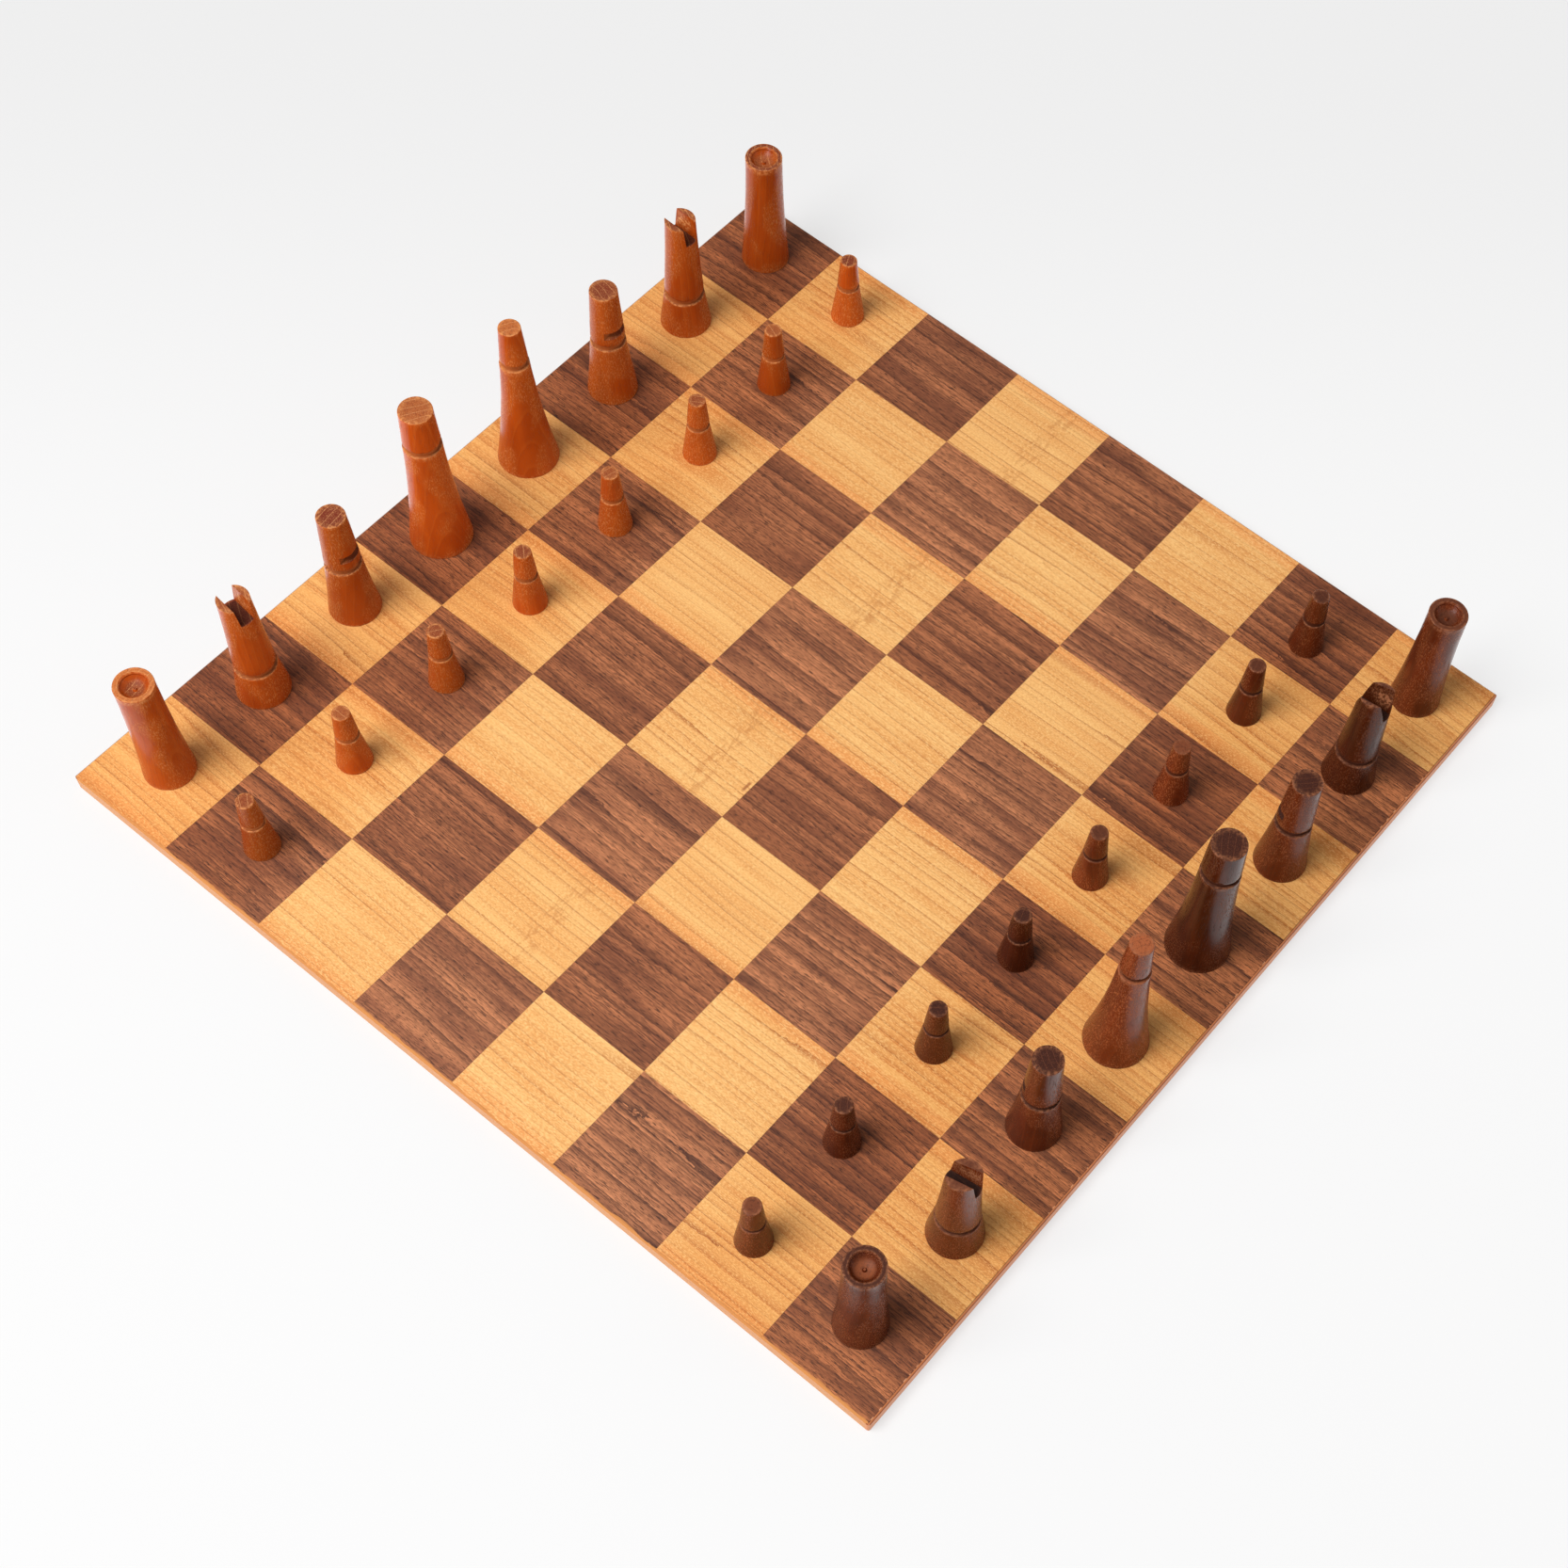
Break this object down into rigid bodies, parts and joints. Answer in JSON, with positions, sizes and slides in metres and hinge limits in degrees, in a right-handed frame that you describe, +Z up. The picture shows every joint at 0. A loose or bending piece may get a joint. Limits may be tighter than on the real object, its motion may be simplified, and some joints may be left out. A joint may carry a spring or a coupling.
{
  "type": "chess set",
  "caption": "Thin veneered wooden chess board with edge strips and slim turned wooden men, each kind marked by a parted groove, a side notch, a top slot or a dished cup.",
  "frame": {"origin": "centre of the board's underside", "axes": "+X along the ranks from the a file to the h file, +Y from the light side to the dark side, +Z up from the board"},
  "size_m": [0.399, 0.399, 0.084],
  "materials": {
    "core_panel": "plain matt panel under the veneers",
    "dark_veneer": "satin oiled walnut veneer",
    "light_veneer": "satin oiled cherry veneer",
    "edge_strip": "planed hardwood strip, satin",
    "light_men": "turned teak, waxed semi-gloss",
    "dark_men": "turned dark-stained wood, semi-gloss"
  },
  "bodies": {
    "board": {"board_core": "core_panel", "walnut_squares": "dark_veneer", "light_squares": "light_veneer", "near_edge_band": "edge_strip", "far_edge_band": "edge_strip", "left_edge_band": "edge_strip", "right_edge_band": "edge_strip"},
    "light_rook_a": {"light_rook_a": "light_men"},
    "light_knight_b": {"light_knight_b": "light_men"},
    "light_bishop_c": {"light_bishop_c": "light_men"},
    "light_queen_d": {"light_queen_d": "light_men"},
    "light_king_e": {"light_king_e": "light_men"},
    "light_bishop_f": {"light_bishop_f": "light_men"},
    "light_knight_g": {"light_knight_g": "light_men"},
    "light_rook_h": {"light_rook_h": "light_men"},
    "light_pawn_a": {"light_pawn_a": "light_men"},
    "light_pawn_b": {"light_pawn_b": "light_men"},
    "light_pawn_c": {"light_pawn_c": "light_men"},
    "light_pawn_d": {"light_pawn_d": "light_men"},
    "light_pawn_e": {"light_pawn_e": "light_men"},
    "light_pawn_f": {"light_pawn_f": "light_men"},
    "light_pawn_g": {"light_pawn_g": "light_men"},
    "light_pawn_h": {"light_pawn_h": "light_men"},
    "dark_rook_a": {"dark_rook_a": "dark_men"},
    "dark_knight_b": {"dark_knight_b": "dark_men"},
    "dark_bishop_c": {"dark_bishop_c": "dark_men"},
    "dark_king_d": {"dark_king_d": "dark_men"},
    "dark_queen_e": {"dark_queen_e": "dark_men"},
    "dark_bishop_f": {"dark_bishop_f": "dark_men"},
    "dark_knight_g": {"dark_knight_g": "dark_men"},
    "dark_rook_h": {"dark_rook_h": "dark_men"},
    "dark_pawn_a": {"dark_pawn_a": "dark_men"},
    "dark_pawn_b": {"dark_pawn_b": "dark_men"},
    "dark_pawn_c": {"dark_pawn_c": "dark_men"},
    "dark_pawn_d": {"dark_pawn_d": "dark_men"},
    "dark_pawn_e": {"dark_pawn_e": "dark_men"},
    "dark_pawn_f": {"dark_pawn_f": "dark_men"},
    "dark_pawn_g": {"dark_pawn_g": "dark_men"},
    "dark_pawn_h": {"dark_pawn_h": "dark_men"}
  },
  "joints": [
    {"name": "lift_light_rook_a", "type": "slide", "parent": "board", "child": "light_rook_a", "axis": [0, 0, 1], "range_m": [0, 0.1]},
    {"name": "lift_light_knight_b", "type": "slide", "parent": "board", "child": "light_knight_b", "axis": [0, 0, 1], "range_m": [0, 0.1]},
    {"name": "lift_light_bishop_c", "type": "slide", "parent": "board", "child": "light_bishop_c", "axis": [0, 0, 1], "range_m": [0, 0.1]},
    {"name": "lift_light_queen_d", "type": "slide", "parent": "board", "child": "light_queen_d", "axis": [0, 0, 1], "range_m": [0, 0.1]},
    {"name": "lift_light_king_e", "type": "slide", "parent": "board", "child": "light_king_e", "axis": [0, 0, 1], "range_m": [0, 0.1]},
    {"name": "lift_light_bishop_f", "type": "slide", "parent": "board", "child": "light_bishop_f", "axis": [0, 0, 1], "range_m": [0, 0.1]},
    {"name": "lift_light_knight_g", "type": "slide", "parent": "board", "child": "light_knight_g", "axis": [0, 0, 1], "range_m": [0, 0.1]},
    {"name": "lift_light_rook_h", "type": "slide", "parent": "board", "child": "light_rook_h", "axis": [0, 0, 1], "range_m": [0, 0.1]},
    {"name": "lift_light_pawn_a", "type": "slide", "parent": "board", "child": "light_pawn_a", "axis": [0, 0, 1], "range_m": [0, 0.1]},
    {"name": "lift_light_pawn_b", "type": "slide", "parent": "board", "child": "light_pawn_b", "axis": [0, 0, 1], "range_m": [0, 0.1]},
    {"name": "lift_light_pawn_c", "type": "slide", "parent": "board", "child": "light_pawn_c", "axis": [0, 0, 1], "range_m": [0, 0.1]},
    {"name": "lift_light_pawn_d", "type": "slide", "parent": "board", "child": "light_pawn_d", "axis": [0, 0, 1], "range_m": [0, 0.1]},
    {"name": "lift_light_pawn_e", "type": "slide", "parent": "board", "child": "light_pawn_e", "axis": [0, 0, 1], "range_m": [0, 0.1]},
    {"name": "lift_light_pawn_f", "type": "slide", "parent": "board", "child": "light_pawn_f", "axis": [0, 0, 1], "range_m": [0, 0.1]},
    {"name": "lift_light_pawn_g", "type": "slide", "parent": "board", "child": "light_pawn_g", "axis": [0, 0, 1], "range_m": [0, 0.1]},
    {"name": "lift_light_pawn_h", "type": "slide", "parent": "board", "child": "light_pawn_h", "axis": [0, 0, 1], "range_m": [0, 0.1]},
    {"name": "lift_dark_rook_a", "type": "slide", "parent": "board", "child": "dark_rook_a", "axis": [0, 0, 1], "range_m": [0, 0.1]},
    {"name": "lift_dark_knight_b", "type": "slide", "parent": "board", "child": "dark_knight_b", "axis": [0, 0, 1], "range_m": [0, 0.1]},
    {"name": "lift_dark_bishop_c", "type": "slide", "parent": "board", "child": "dark_bishop_c", "axis": [0, 0, 1], "range_m": [0, 0.1]},
    {"name": "lift_dark_king_d", "type": "slide", "parent": "board", "child": "dark_king_d", "axis": [0, 0, 1], "range_m": [0, 0.1]},
    {"name": "lift_dark_queen_e", "type": "slide", "parent": "board", "child": "dark_queen_e", "axis": [0, 0, 1], "range_m": [0, 0.1]},
    {"name": "lift_dark_bishop_f", "type": "slide", "parent": "board", "child": "dark_bishop_f", "axis": [0, 0, 1], "range_m": [0, 0.1]},
    {"name": "lift_dark_knight_g", "type": "slide", "parent": "board", "child": "dark_knight_g", "axis": [0, 0, 1], "range_m": [0, 0.1]},
    {"name": "lift_dark_rook_h", "type": "slide", "parent": "board", "child": "dark_rook_h", "axis": [0, 0, 1], "range_m": [0, 0.1]},
    {"name": "lift_dark_pawn_a", "type": "slide", "parent": "board", "child": "dark_pawn_a", "axis": [0, 0, 1], "range_m": [0, 0.1]},
    {"name": "lift_dark_pawn_b", "type": "slide", "parent": "board", "child": "dark_pawn_b", "axis": [0, 0, 1], "range_m": [0, 0.1]},
    {"name": "lift_dark_pawn_c", "type": "slide", "parent": "board", "child": "dark_pawn_c", "axis": [0, 0, 1], "range_m": [0, 0.1]},
    {"name": "lift_dark_pawn_d", "type": "slide", "parent": "board", "child": "dark_pawn_d", "axis": [0, 0, 1], "range_m": [0, 0.1]},
    {"name": "lift_dark_pawn_e", "type": "slide", "parent": "board", "child": "dark_pawn_e", "axis": [0, 0, 1], "range_m": [0, 0.1]},
    {"name": "lift_dark_pawn_f", "type": "slide", "parent": "board", "child": "dark_pawn_f", "axis": [0, 0, 1], "range_m": [0, 0.1]},
    {"name": "lift_dark_pawn_g", "type": "slide", "parent": "board", "child": "dark_pawn_g", "axis": [0, 0, 1], "range_m": [0, 0.1]},
    {"name": "lift_dark_pawn_h", "type": "slide", "parent": "board", "child": "dark_pawn_h", "axis": [0, 0, 1], "range_m": [0, 0.1]}
  ]
}
